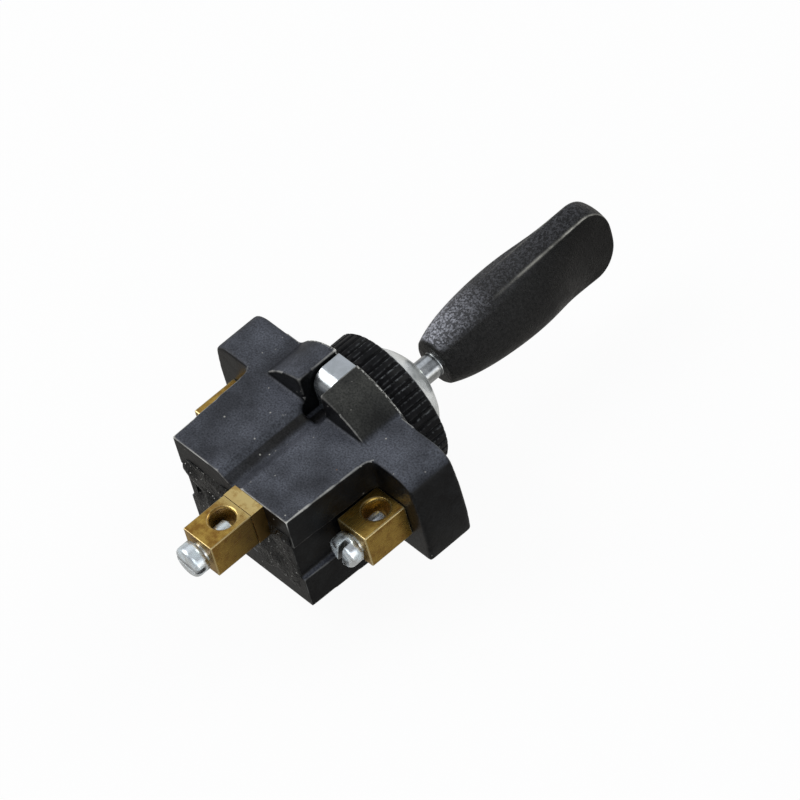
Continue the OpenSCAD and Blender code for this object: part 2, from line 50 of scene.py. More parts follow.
MERGE = 0.002 * MM
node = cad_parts


def linear(code):
    """Linear RGBA of an sRGB hex colour: c / 12.92 up to 0.04045, and ((c + 0.055) / 1.055) ** 2.4 above that."""
    value = np.array([int(code[i:i + 2], 16) for i in (1, 3, 5)]) / 255
    value = np.where(value <= 0.04045, value / 12.92, ((value + 0.055) / 1.055) ** 2.4)
    return (*value.tolist(), 1.0)


def add(tree, kind, inputs=None, **settings):
    """Adds a node with its settings and links. Each input is a constant, a socket, or a socket with a range.

    A range is a tuple of the socket, a low and a high. It is carried onto 0 to 1, or onto two more numbers in the
    tuple, and held at the ends.
    """
    made = tree.nodes.new(kind)
    for name, value in settings.items():
        setattr(made, name, value)
    for key, value in (inputs or {}).items():
        if isinstance(value, tuple) and isinstance(value[0], bpy.types.NodeSocket):
            value = add(tree, "ShaderNodeMapRange", dict(enumerate(value))).outputs["Result"]
        if isinstance(value, bpy.types.NodeSocket):
            tree.links.new(value, made.inputs[key])
        else:
            made.inputs[key].default_value = value
    return made


def start(name):
    """A new material, its empty tree and its Object coordinates in millimetres."""
    material = bpy.data.materials.new(name)
    material.use_nodes = True
    tree = material.node_tree
    tree.nodes.clear()
    place = add(tree, "ShaderNodeTexCoord").outputs["Object"]
    scaled = add(tree, "ShaderNodeVectorMath", {0: place, "Scale": 1 / MM}, operation="SCALE")
    return material, tree, scaled.outputs["Vector"]


# Phenolic, compression moulded: near black and satin, with a cloudy haze on what faces up that is dust and painted
# sheen, edges worn pale and partly painted as highlights, and dust.
# The skin's own grain is under 0.1 mm, and is drawn at 0.3 mm so that it shows.
phenolic, tree, mm = start("phenolic moulding")
cloud = add(tree, "ShaderNodeTexNoise", {"Vector": mm, "Scale": 1 / 8, "Detail": 3.0, "Roughness": 0.5}).outputs["Fac"]
skin = add(tree, "ShaderNodeTexNoise", {"Vector": mm, "Scale": 1 / 0.3, "Detail": 3.0,
    "Roughness": 0.65}).outputs["Fac"]
flow = add(tree, "ShaderNodeTexNoise", {"Vector": mm, "Scale": 1 / 2.6, "Detail": 3.0,
    "Distortion": 0.6}).outputs["Fac"]
facing = add(tree, "ShaderNodeSeparateXYZ", {"Vector": add(tree, "ShaderNodeTexCoord").outputs["Normal"]}).outputs
at = add(tree, "ShaderNodeSeparateXYZ", {"Vector": mm}).outputs
edge = add(tree, "ShaderNodeAttribute", attribute_name="edge").outputs["Fac"]

# Painted shade: on top of the boss, right of x = 2, the film is painted thinner and warmer, for how that lobe takes the
# light.
lobe_shade = add(tree, "ShaderNodeMath", {0: (at["Z"], 10.1, 10.6), 1: (at["X"], 0.0, 2.0, 1.0, 0.0)},
    operation="MULTIPLY").outputs[0]
# Dust and painted sheen: faces that point up get a paler, bluish film, for dust and also for the sky they reflect.
dust_and_sheen = add(tree, "ShaderNodeMath", {0: (facing["Z"], 0.35, 0.95), 1: (cloud, 0.36, 0.64, 0.35, 1.0)},
    operation="MULTIPLY").outputs[0]
dust_and_sheen = add(tree, "ShaderNodeMath", {0: dust_and_sheen, 1: (lobe_shade, 0.0, 1.0, 1.0, 0.75)}, operation="MULTIPLY").outputs[0]

# Painted shade: a strip along the top, one flank of its groove, gets no haze and is painted dark brown for the shade
# there.
groove_shade = add(tree, "ShaderNodeMath", {0: (at["X"], -0.6, 0.6), 1: (at["X"], 1.5, 1.75, 1.0, 0.0)},
    operation="MULTIPLY").outputs[0]
groove_shade = add(tree, "ShaderNodeMath", {0: groove_shade, 1: (at["Y"], 12.0, 24.0, 0.88, 0.62)}, operation="MULTIPLY").outputs[0]
dust_and_sheen = add(tree, "ShaderNodeMath", {0: dust_and_sheen, 1: (groove_shade, 0.0, 1.0, 1.0, 0.0)}, operation="MULTIPLY").outputs[0]
colour = add(tree, "ShaderNodeMix", {0: (flow, 0.36, 0.66), 6: linear("#0e0e0f"), 7: linear("#18191a")},
    data_type="RGBA").outputs[2]
colour = add(tree, "ShaderNodeMix", {0: groove_shade, 6: colour, 7: linear("#211e1a")}, data_type="RGBA").outputs[2]
dust_sheen_tint = add(tree, "ShaderNodeMix", {0: lobe_shade, 6: linear("#5f626b"), 7: linear("#52524e")}, data_type="RGBA").outputs[2]
colour = add(tree, "ShaderNodeMix", {0: dust_and_sheen, 6: colour, 7: dust_sheen_tint}, data_type="RGBA").outputs[2]
mottle = add(tree, "ShaderNodeMix", {0: (skin, 0.34, 0.62), 6: linear("#a8a8a8"), 7: linear("#ffffff")},
    data_type="RGBA").outputs[2]
colour = add(tree, "ShaderNodeMix", {0: 1.0, 6: colour, 7: mottle}, data_type="RGBA", blend_type="MULTIPLY").outputs[2]

# Edges are rubbed pale most at the back and on top, the pale line partly a painted highlight, and the front rim is
# chipped.
behind = add(tree, "ShaderNodeMath", {0: (at["Y"], 14.0, 24.0, 0.45, 1.0), 1: (at["Z"], 8.0, 9.4, 0.2, 1.0)},
    operation="MULTIPLY").outputs[0]
behind = add(tree, "ShaderNodeMath", {0: behind, 1: (at["Y"], 0.3, 1.2, 1.0, 0.0)}, operation="MAXIMUM").outputs[0]
rubbed_and_highlit = add(tree, "ShaderNodeMath", {0: (edge, 0.35, 0.75), 1: (flow, 0.38, 0.56, 0.35, 1.0)},
    operation="MULTIPLY").outputs[0]
rubbed_and_highlit = add(tree, "ShaderNodeMath", {0: rubbed_and_highlit, 1: behind}, operation="MULTIPLY").outputs[0]
chips = add(tree, "ShaderNodeMath", {0: (at["Y"], 0.22, 0.42, 1.0, 0.0), 1: (skin, 0.47, 0.58)},
    operation="MULTIPLY").outputs[0]
chips = add(tree, "ShaderNodeMath", {0: chips, 1: (facing["Y"], -0.7, -0.3)}, operation="MULTIPLY").outputs[0]
rubbed_and_highlit = add(tree, "ShaderNodeMath", {0: rubbed_and_highlit, 1: chips}, operation="MAXIMUM").outputs[0]
colour = add(tree, "ShaderNodeMix", {0: rubbed_and_highlit, 6: colour, 7: linear("#c9c7c1")}, data_type="RGBA").outputs[2]

# Dust specks, pale ones and a few brown: in a share of the cells of this spacing in mm, a dot of up to 0.22 mm radius.
for spacing, share, tint in ((0.97, 0.76, "#c9c6be"), (2.8, 0.84, "#8a5b32")):
    dust = add(tree, "ShaderNodeTexVoronoi", {"Vector": mm, "Scale": 1 / spacing}, feature="F1").outputs
    draw = add(tree, "ShaderNodeSeparateColor", {"Color": dust["Color"]}).outputs
    reach = add(tree, "ShaderNodeMapRange", {"Value": draw["Green"], "From Min": 0.3, "From Max": 1.0,
        "To Min": 0.02 / spacing, "To Max": 0.22 / spacing}).outputs["Result"]
    speck = add(tree, "ShaderNodeMath", {0: (dust["Distance"], 0.0, reach, 1.0, 0.0),
        1: (draw["Red"], share, share + 0.02, 0.0, 0.9)}, operation="MULTIPLY").outputs[0]
    colour = add(tree, "ShaderNodeMix", {0: speck, 6: colour, 7: linear(tint)}, data_type="RGBA").outputs[2]
waves = add(tree, "ShaderNodeBump", {"Height": flow, "Strength": 0.6, "Distance": 0.12 * MM})
peel = add(tree, "ShaderNodeBump", {"Height": skin, "Strength": 0.8, "Distance": 0.055 * MM,
    "Normal": waves.outputs["Normal"]})
shader = add(tree, "ShaderNodeBsdfPrincipled", {"Base Color": colour, "Roughness": (dust_and_sheen, 0.0, 1.0, 0.36, 0.56),
    "Specular IOR Level": 0.16, "Normal": peel.outputs["Normal"]})
add(tree, "ShaderNodeOutputMaterial", {"Surface": shader.outputs["BSDF"]})


WEAR_GAIN = 7


def softened(name, source, body, material, voxel, passes, keep):
    """A copy of a CAD node with its edges worn round: merged, remeshed on a fine grid, then smoothed.

    In each pass a point moves halfway to the mean of its neighbours. The number of passes is one number, or a function
    of x, y and z in mm, so that some edges come out rounder than others. How far a point stands proud of its
    neighbours is kept as the wear on the edges. A decimate pass then thins the flat parts and keeps this share.
    """
    raw = bpy.data.meshes.new(name)
    work = bmesh.new()
    work.from_mesh(node[source].data)
    bmesh.ops.remove_doubles(work, verts=work.verts, dist=MERGE)
    work.to_mesh(raw)
    work.free()
    shell = bpy.data.objects.new(name + "_shell", raw)
    bpy.context.scene.collection.objects.link(shell)
    remesh = shell.modifiers.new("grid", "REMESH")
    remesh.mode = "VOXEL"
    remesh.voxel_size = voxel * MM
    mesh = bpy.data.meshes.new_from_object(shell.evaluated_get(bpy.context.evaluated_depsgraph_get()))
    bpy.data.objects.remove(shell)
    points = np.empty(len(mesh.vertices) * 3)
    mesh.vertices.foreach_get("co", points)
    points = points.reshape(-1, 3)
    ends = np.empty(len(mesh.edges) * 2, int)
    mesh.edges.foreach_get("vertices", ends)
    near_end, far_end = np.concatenate([ends.reshape(-1, 2), ends.reshape(-1, 2)[:, ::-1]]).T
    count = np.bincount(near_end, minlength=len(points))
    wanted = passes(*(points.T / MM)) if callable(passes) else np.full(len(points), passes)
    for number in range(wanted.max()):
        mean = np.stack([np.bincount(near_end, points[far_end, axis], len(points)) / count for axis in range(3)], -1)
        step = np.where(number < wanted, 0.5, 0.0)[:, None]
        points = points + step * (mean - points)
    mesh.vertices.foreach_set("co", points.ravel())
    mesh.update()
    outward = np.empty(len(points) * 3, np.float32)
    mesh.vertex_normals.foreach_get("vector", outward)
    mean = np.stack([np.bincount(near_end, points[far_end, axis], len(points)) / count for axis in range(3)], -1)
    bend = ((points - mean) * outward.reshape(-1, 3)).sum(1) / (voxel * MM)
    wear = mesh.attributes.new("edge", "FLOAT", "POINT")
    wear.data.foreach_set("value", np.clip(WEAR_GAIN * bend, -1, 1).astype(np.float32))
    mesh.polygons.foreach_set("use_smooth", np.ones(len(mesh.polygons), bool))
    mesh.materials.clear()
    mesh.materials.append(material)
    mesh.name = name
    piece = bpy.data.objects.new(name, mesh)
    bpy.context.scene.collection.objects.link(piece)
    thin = piece.modifiers.new("thin flats", "DECIMATE")
    thin.ratio = keep
    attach(piece, body)
    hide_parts(source)


BLOCK_PASSES, SLOT_PASSES, WING_PASSES, GROOVE_PASSES, PIT_PASSES = 4, 16, 22, 40, 60


def moulding_wear(x, y, z):
    """Passes of smoothing: few on the block, more on the wings, the strap's slot, the top's groove and its pit."""
    slot = (np.abs(x) < 6.5) & (y > 5) & (y < 10) & (z > 10.6)
    groove = (x > -4.4) & (x < 1.6) & (y > 11) & (y < 23) & (z > 7)
    pit = (np.abs(x) < 4.5) & (y > 8) & (y < 11.5) & (z > 8)
    wing = np.abs(x) > 14.3
    return np.select([groove, pit, slot, wing], [GROOVE_PASSES, PIT_PASSES, SLOT_PASSES, WING_PASSES], BLOCK_PASSES)


softened("moulding", "body_moulding", "case", phenolic, 0.2, moulding_wear, 0.3)


# Contacts inside: brass tracks about the pivot in a bed of laminated fibre, seen only when it is opened.
# The strips are stamped, so they keep a light grain along their length. The common one leads out to the rear terminal.

def brass(name, pale, dark, rough, grain):
    """Brass, drawn or turned: warm, with lines of this width in mm along Y, brown tarnish and bright rubbed edges.

    Outside, close to the moulding, its tops are painted pale as a painted highlight, and its right sides dark as
    painted shade. Its bright edges are rubbed, and partly a painted highlight. Real lines are under 0.1 mm wide, and
    are drawn coarser so that they show.
    """
    material, tree, mm = start(name)
    drawn = add(tree, "ShaderNodeMapping", {"Vector": mm, "Scale": (1.0, 0.06, 1.0)}, vector_type="POINT")
    lines = add(tree, "ShaderNodeTexNoise", {"Vector": drawn.outputs["Vector"], "Scale": 1 / grain,
        "Detail": 3.0}).outputs["Fac"]
    stain = add(tree, "ShaderNodeTexNoise", {"Vector": mm, "Scale": 1 / 2.2, "Detail": 6.0,
        "Roughness": 0.7}).outputs["Fac"]
    colour = add(tree, "ShaderNodeMix", {0: (stain, 0.38, 0.6), 6: linear(dark), 7: linear(pale)},
        data_type="RGBA").outputs[2]
    streak = add(tree, "ShaderNodeMix", {0: (lines, 0.3, 0.6), 6: linear("#f8f8f8"), 7: linear("#ffffff")},
        data_type="RGBA").outputs[2]
    colour = add(tree, "ShaderNodeMix", {0: 1.0, 6: colour, 7: streak}, data_type="RGBA",
        blend_type="MULTIPLY").outputs[2]
    edge = add(tree, "ShaderNodeAttribute", attribute_name="edge").outputs["Fac"]
    # Bright edges: rubbed, and partly a painted highlight.
    colour = add(tree, "ShaderNodeMix", {0: (edge, 0.12, 0.7, 0.0, 0.85), 6: colour, 7: linear("#eedca6")},
        data_type="RGBA").outputs[2]
    facing = add(tree, "ShaderNodeSeparateXYZ", {"Vector": add(tree, "ShaderNodeTexCoord").outputs["Normal"]}).outputs
    away = add(tree, "ShaderNodeSeparateXYZ", {"Vector": mm}).outputs["Y"]
    # Painted shade: right sides close to the moulding are painted dark brown, for the shade and dark reflection there.
    side_shade = add(tree, "ShaderNodeMath", {0: (away, 24.6, 25.0), 1: (away, 29.0, 35.5, 1.0, 0.0)},
        operation="MULTIPLY").outputs[0]
    side_shade = add(tree, "ShaderNodeMath", {0: side_shade, 1: (facing["X"], -0.9, -0.4, 0.68, 0.0)},
        operation="MULTIPLY").outputs[0]
    colour = add(tree, "ShaderNodeMix", {0: side_shade, 6: colour, 7: linear("#2a1a0a")}, data_type="RGBA").outputs[2]
    # Painted highlight: tops close to the moulding are painted pale, for the bright reflection they show.
    top_highlight = add(tree, "ShaderNodeMath", {0: (away, 24.6, 25.0), 1: (away, 26.0, 31.0, 0.8, 0.0)},
        operation="MULTIPLY").outputs[0]
    top_highlight = add(tree, "ShaderNodeMath", {0: top_highlight, 1: (facing["Z"], 0.5, 0.9)}, operation="MULTIPLY").outputs[0]
    top_highlight = add(tree, "ShaderNodeMath", {0: top_highlight, 1: (stain, 0.4, 0.5, 0.3, 1.0)}, operation="MULTIPLY").outputs[0]
    colour = add(tree, "ShaderNodeMix", {0: top_highlight, 6: colour, 7: linear("#dfc988")}, data_type="RGBA").outputs[2]
    bump = add(tree, "ShaderNodeBump", {"Height": lines, "Strength": 0.03, "Distance": 0.006 * MM})
    shader = add(tree, "ShaderNodeBsdfPrincipled", {"Base Color": colour, "Metallic": (stain, 0.38, 0.6, 0.7, 0.96),
        "Roughness": (lines, 0.3, 0.7, rough - 0.03, rough + 0.03), "Normal": bump.outputs["Normal"]})
    add(tree, "ShaderNodeOutputMaterial", {"Surface": shader.outputs["BSDF"]})
    return material


def finish_cad(name, material, edge):
    """Closes a CAD node's loose triangles, rounds its edges by this radius in mm and paints it."""
    piece = node[name]
    piece.data.polygons.foreach_set("use_smooth", np.ones(len(piece.data.polygons), bool))
    weld = piece.modifiers.new("weld", "WELD")
    weld.merge_threshold = MERGE
    if edge:
        bevel = piece.modifiers.new("edges", "BEVEL")
        bevel.width = edge * MM
        bevel.segments = 3
        bevel.limit_method = "ANGLE"
        bevel.angle_limit = np.radians(32)
        bevel.use_clamp_overlap = True
        bevel.miter_outer = "MITER_ARC"
    normals = piece.modifiers.new("normals", "WEIGHTED_NORMAL")
    normals.keep_sharp = False
    normals.weight = 90
    piece.data.materials.clear()
    piece.data.materials.append(material)


contact_brass = brass("stamped contact brass", "#caa258", "#a8823e", 0.32, 0.2)
for name in ("common_contact", "left_contact", "right_contact", "contact_roller"):
    finish_cad(name, contact_brass, 0.06)

# Laminated fibre, sawn and drilled: matte reddish brown with a fine fibrous mottle.
fibre, tree, mm = start("laminated fibre")
hairs = add(tree, "ShaderNodeTexNoise", {"Vector": mm, "Scale": 1 / 0.3, "Detail": 5.0,
    "Distortion": 1.5}).outputs["Fac"]
colour = add(tree, "ShaderNodeMix", {0: (hairs, 0.3, 0.7), 6: linear("#3b2216"), 7: linear("#5d3a24")},
    data_type="RGBA").outputs[2]
bump = add(tree, "ShaderNodeBump", {"Height": hairs, "Strength": 0.5, "Distance": 0.03 * MM})
shader = add(tree, "ShaderNodeBsdfPrincipled", {"Base Color": colour, "Roughness": 0.7,
    "Normal": bump.outputs["Normal"]})
add(tree, "ShaderNodeOutputMaterial", {"Surface": shader.outputs["BSDF"]})
for name in ("contact_block", "plunger_yoke"):
    finish_cad(name, fibre, 0.08)


# Sealing compound: black pitch poured into the open back over the contacts, set rough and lumpy.
# It fills the hollow round the rear terminal's shank, and runs out over the rim in places.

def object_from(name, points, faces, body, material, replaced=(), corner=180):
    """A mesh piece from points in mm and quads, with its doubles merged, its faces turned outwards, riding on a body.

    A fourth column, where there is one, is kept as the wear on the piece's edges. Edges that turn by more than the
    corner's angle in degrees stay sharp.
    """
    mesh = bpy.data.meshes.new(name)
    table = points.reshape(-1, points.shape[-1])
    mesh.from_pydata((table[:, :3] * MM).tolist(), [], faces.reshape(-1, 4).tolist())
    if table.shape[1] > 3:
        wear = mesh.attributes.new("edge", "FLOAT", "POINT")
        wear.data.foreach_set("value", table[:, 3].astype(np.float32))
    work = bmesh.new()
    work.from_mesh(mesh)
    bmesh.ops.remove_doubles(work, verts=work.verts, dist=1e-7)
    bmesh.ops.dissolve_degenerate(work, edges=work.edges, dist=1e-8)
    bmesh.ops.recalc_face_normals(work, faces=work.faces)
    work.to_mesh(mesh)
    work.free()
    mesh.polygons.foreach_set("use_smooth", np.ones(len(mesh.polygons), bool))
    mesh.set_sharp_from_angle(angle=np.radians(corner))
    mesh.materials.append(material)
    piece = bpy.data.objects.new(name, mesh)
    bpy.context.scene.collection.objects.link(piece)
    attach(piece, body)
    if replaced:
        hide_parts(*replaced)
    return piece


def grid_faces(rows, columns, closed_rows=False, closed_columns=False):
    """Quads that join a grid of points to its neighbours, round the ends where it closes on itself."""
    index = np.arange(rows * columns).reshape(rows, columns)
    if closed_rows:
        index = np.vstack([index, index[:1]])
    if closed_columns:
        index = np.hstack([index, index[:, :1]])
    return np.stack([index[:-1, :-1], index[1:, :-1], index[1:, 1:], index[:-1, 1:]], -1)


# Pitch, poured: black and rough with a dull skin, and pale specks of 0.3 mm, part dust and part painted glint.
pitch, tree, mm = start("sealing pitch")
grit = add(tree, "ShaderNodeTexVoronoi", {"Vector": mm, "Scale": 1 / 0.55}, feature="F1").outputs["Distance"]
fleck = add(tree, "ShaderNodeTexVoronoi", {"Vector": mm, "Scale": 1 / 0.3}, feature="F1").outputs
crumb = add(tree, "ShaderNodeTexNoise", {"Vector": mm, "Scale": 1 / 0.5, "Detail": 5.0,
    "Roughness": 0.7}).outputs["Fac"]
colour = add(tree, "ShaderNodeMix", {0: (crumb, 0.35, 0.7), 6: linear("#0c0c0c"), 7: linear("#1d1d1b")},
    data_type="RGBA").outputs[2]
draw = add(tree, "ShaderNodeSeparateColor", {"Color": fleck["Color"]}).outputs
# Pale specks: part dust, part painted glint.
speck_and_glint = add(tree, "ShaderNodeMath", {0: (draw["Red"], 0.89, 0.91), 1: (fleck["Distance"], 0.15, 0.4, 1.0, 0.0)},
    operation="MULTIPLY").outputs[0]
colour = add(tree, "ShaderNodeMix", {0: speck_and_glint, 6: colour, 7: linear("#d6d5cf")}, data_type="RGBA").outputs[2]
coarse = add(tree, "ShaderNodeBump", {"Height": grit, "Strength": 0.9, "Distance": 0.35 * MM})
fine = add(tree, "ShaderNodeBump", {"Height": crumb, "Strength": 0.9, "Distance": 0.3 * MM,
    "Normal": coarse.outputs["Normal"]})
shader = add(tree, "ShaderNodeBsdfPrincipled", {"Base Color": colour, "Roughness": (crumb, 0.35, 0.65, 0.2, 0.5),
    "Specular IOR Level": 0.3, "Normal": fine.outputs["Normal"]})
add(tree, "ShaderNodeOutputMaterial", {"Surface": shader.outputs["BSDF"]})

# The pour's top follows y = back + swell * (1 - (distance past the hollow's edge) / spread) + lumps, so that it runs
# out over the rim at the sides and below, and sinks behind the rim where that falls under it. The lumps are a sum of
# waves in all directions, each as high as it is long. A flat floor and a wall round the edge close it.
BACK_Y, OVERFLOW, SWELL, SPREAD, LUMP, WAVES = 25.0, 1.3, 0.16, 0.8, 0.34, 40
low, high = (np.array(corner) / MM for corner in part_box("sealing_compound"))
across, upward = np.meshgrid(np.linspace(low[0] - OVERFLOW, high[0] + OVERFLOW, 150),
    np.linspace(low[2] - OVERFLOW, high[2] + 0.2, 90), indexing="ij")
wave = np.random.default_rng(3).uniform([0.5, -np.pi, 0.0], [2.4, np.pi, 2 * np.pi], (WAVES, 3))
lumps = sum(np.sin(k * (across * np.cos(a) + upward * np.sin(a)) + b) / k for k, a, b in wave) / WAVES ** 0.5
past = np.maximum.reduce([low[0] - across, across - high[0], low[2] - upward, upward - high[2], 0 * across])
top = BACK_Y + SWELL * (1 - past / SPREAD) + LUMP * lumps
pour_top = np.stack([across, top, upward], -1)
pour_floor = np.stack([across, np.full_like(across, low[1]), upward], -1)
rows, columns = across.shape
index = np.arange(rows * columns).reshape(rows, columns)
rim = np.concatenate([index[:, 0], index[-1, 1:], index[-2::-1, -1], index[0, -2:0:-1]])
wall = np.stack([rim, np.roll(rim, -1), np.roll(rim, -1) + rows * columns, rim + rows * columns], -1)
quads = grid_faces(rows, columns).reshape(-1, 4)
object_from("sealing_fill", np.stack([pour_top, pour_floor]), np.concatenate([quads, quads + rows * columns, wall]),
    "case", pitch, ["sealing_compound"])


# Terminals: square brass bar, sawn to length, drilled for the wire and tapped for its clamp screw.
# They are staked on studs, and the sawn and drawn faces keep fine lines and a little tarnish.
terminal_brass = brass("drawn terminal brass", "#c6a250", "#8e6624", 0.28, 0.2)
for side in ("rear", "left", "right"):
    softened(side + "_clamp_bar", side + "_terminal", "case", terminal_brass, 0.1, 5, 1.0)


# Clamp screws: steel cheese heads, turned, slotted and plated with bright zinc.
# Each is screwed into the end of its terminal, where it pinches the wire, and its slot is painted dark as shade.
HEAD_R, HEAD_H, HEAD_ROUND, SHANK_R, SHANK_END, SUNK = 2.65, 2.4, 0.8, 1.7, 0.4, 0.2
SLOT_W, SLOT_DEPTH, SLOT_BREAK, SLOT_STEP, HAIR = 0.85, 1.2, 0.06, 0.05, 0.001


def zinc(name, pale, dark, rough, bare):
    """Zinc plate on steel: cool and bright, with a cloudy spangle of 1.3 mm whose dull parts are metal to this share.

    Where the piece's own wear is negative, it is painted dark: painted shade, as in the screws' slots.
    """
    material, tree, mm = start(name)
    spangle = add(tree, "ShaderNodeTexNoise", {"Vector": mm, "Scale": 1 / 1.3, "Detail": 1.0}).outputs["Fac"]
    scuff = add(tree, "ShaderNodeTexNoise", {"Vector": mm, "Scale": 1 / 0.9, "Detail": 2.0}).outputs["Fac"]
    edge = add(tree, "ShaderNodeAttribute", attribute_name="edge").outputs["Fac"]
    colour = add(tree, "ShaderNodeMix", {0: (spangle, 0.35, 0.65), 6: linear(dark), 7: linear(pale)},
        data_type="RGBA").outputs[2]
    colour = add(tree, "ShaderNodeMix", {0: (edge, -0.7, -0.1, 0.92, 0.0), 6: colour, 7: linear("#2b2b29")},
        data_type="RGBA").outputs[2]
    bump = add(tree, "ShaderNodeBump", {"Height": scuff, "Strength": 0.08, "Distance": 0.02 * MM})
    shader = add(tree, "ShaderNodeBsdfPrincipled", {"Base Color": colour, "Metallic": (spangle, 0.35, 0.65, bare, 0.95),
        "Roughness": (scuff, 0.3, 0.7, rough - 0.04, rough + 0.05), "Normal": bump.outputs["Normal"]})
    add(tree, "ShaderNodeOutputMaterial", {"Surface": shader.outputs["BSDF"]})
    return material


def turned(profile, columns=96):
    """A closed outline of radius and y in mm, carried round the Y axis."""
    angle = np.linspace(0, 2 * np.pi, columns, endpoint=False)[None, :]
    radius, y = (np.asarray(profile)[:, [axis]] for axis in (0, 1))
    return np.stack([radius * np.cos(angle), np.broadcast_to(y, (len(y), columns)), radius * np.sin(angle)], -1)


def slotted_head(end, rows=40):
    """Screw head along Y: each column is a slice at the distance u from the slot's middle, and a closed loop.

    The loop climbs the wall, crosses the top as y = end - round(distance from the axis), sinks to the slot's floor
    where u is within the slot, goes down the other wall and returns under the head. The slot is marked for painted
    shade.
    """
    lip = SLOT_W / 2
    first = np.arccos((lip + SLOT_STEP) / HEAD_R)
    wide = np.concatenate([[lip], HEAD_R * np.cos(np.linspace(first, 0, 30))])
    slot = np.linspace(-lip + HAIR, lip - HAIR, 5)
    u = np.concatenate([-wide[::-1], slot, wide])[None, :]
    within, beside = np.abs(u) < lip - HAIR / 2, np.isclose(np.abs(u), lip)
    reach = np.sqrt(np.maximum(HEAD_R ** 2 - u ** 2, 0))
    v = reach * np.sin(np.linspace(-np.pi / 2, np.pi / 2, rows))[:, None]
    past = np.maximum(np.hypot(u, v) - HEAD_R + HEAD_ROUND, 0)
    top = end - HEAD_ROUND + np.sqrt(np.maximum(HEAD_ROUND ** 2 - past ** 2, 0))
    top = np.where(beside, top - SLOT_BREAK, top)
    top = np.where(within, np.minimum(top, end - SLOT_DEPTH), top)
    foot = np.full_like(reach, end - HEAD_H)
    y = np.concatenate([foot, (foot + top[:1]) / 2, top, (foot + top[-1:]) / 2, foot])
    # Painted shade: the slot's floor and lips are marked dark.
    slot_dark = np.where(within, -1.0, np.where(beside, -0.7, 0.0))
    slot_shade = np.concatenate([0 * foot, 0 * foot, np.broadcast_to(slot_dark, top.shape), 0 * foot, 0 * foot])
    v = np.concatenate([-reach, -reach, v, reach, reach])
    return np.stack([np.broadcast_to(u, y.shape), y, v, slot_shade], -1)


screw_zinc = zinc("bright zinc plate", "#f8fdff", "#e4eef2", 0.26, 0.4)
for side, slot_turn in (("rear", 84), ("left", 40), ("right", -18)):
    low, high = (np.array(corner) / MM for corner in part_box(side + "_screw"))
    head = slotted_head(high[1])
    slot_shade = head[..., 3].reshape(-1)
    across = np.array([np.cos(np.radians(slot_turn)), 0, -np.sin(np.radians(slot_turn))])
    along = np.array([np.sin(np.radians(slot_turn)), 0, np.cos(np.radians(slot_turn))])
    head = head[..., :1] * across + head[..., 1:2] * [0, 1, 0] + head[..., 2:3] * along
    shank_top = high[1] - HEAD_H + SUNK
    shank = turned([(0, low[1]), (SHANK_R - SHANK_END, low[1]), (SHANK_R, low[1] + SHANK_END), (SHANK_R, shank_top),
        (0, shank_top)], 48)
    head_faces = grid_faces(*head.shape[:2], closed_rows=True).reshape(-1, 4)
    shank_faces = grid_faces(*shank.shape[:2], closed_columns=True).reshape(-1, 4) + head.shape[0] * head.shape[1]
    middle = (low + high) / 2 * [1, 0, 1]
    points = np.concatenate([head.reshape(-1, 3), shank.reshape(-1, 3)]) + middle
    points = np.column_stack([points, np.pad(slot_shade, (0, len(points) - len(slot_shade)))])
    screw = object_from(side + "_clamp_screw", points, np.concatenate([head_faces, shank_faces]), "screw_" + side,
        screw_zinc, [side + "_screw"])
    screw.modifiers.new("normals", "WEIGHTED_NORMAL").weight = 60


# Fixing saddle: a steel plate behind the ring nut, stamped, bent and plated with zinc that has dulled.
# Its two legs are bent back over the boss into their slots, and hold the neck to the moulding.
finish_cad("fixing_saddle", zinc("dull zinc plate", "#c6cacc", "#b4b9bb", 0.22, 0.75), 0.1)


# Neck: a turned brass bush with a plain land and a fine thread for the ring nut.
# It is pressed through the saddle into the boss, and its thread shows when the nut is unscrewed.
THREAD_PITCH, THREAD_ROOT, THREAD_CREST, SLEEVE_R, THREAD_FROM, THREAD_TO = 1.0, 9.3, 9.48, 9.0, -2.1, -5.5
neck_brass = brass("turned neck brass", "#bf9c58", "#94753c", 0.34, 0.25)
finish_cad("neck_bush", neck_brass, 0.08)


def neck_thread(rows=44, columns=96):
    """Thread on the neck: radius root + (crest - root) * triangle(y / pitch - turn), closed by an inner sleeve."""
    y = np.linspace(THREAD_FROM, THREAD_TO, rows)[:, None]
    turn = np.linspace(0, 1, columns, endpoint=False)[None, :]
    ridge = 1 - 2 * np.abs((y / THREAD_PITCH - turn) % 1 - 0.5)
    radius = THREAD_ROOT + (THREAD_CREST - THREAD_ROOT) * ridge
    sleeve = np.full((1, columns), SLEEVE_R)
    radius = np.vstack([sleeve, radius, sleeve])
    y = np.vstack([y[:1], y, y[-1:]])
    angle = 2 * np.pi * turn
    return np.stack([radius * np.cos(angle), np.broadcast_to(y, radius.shape), radius * np.sin(angle)], -1)


points = neck_thread()
object_from("neck_thread", points, grid_faces(*points.shape[:2], closed_rows=True, closed_columns=True), "case",
    neck_brass)


# Nose cap: a brass dome, spun to shape and plated with nickel.
# It snaps into the front of the neck, and its slot lets the lever swing.

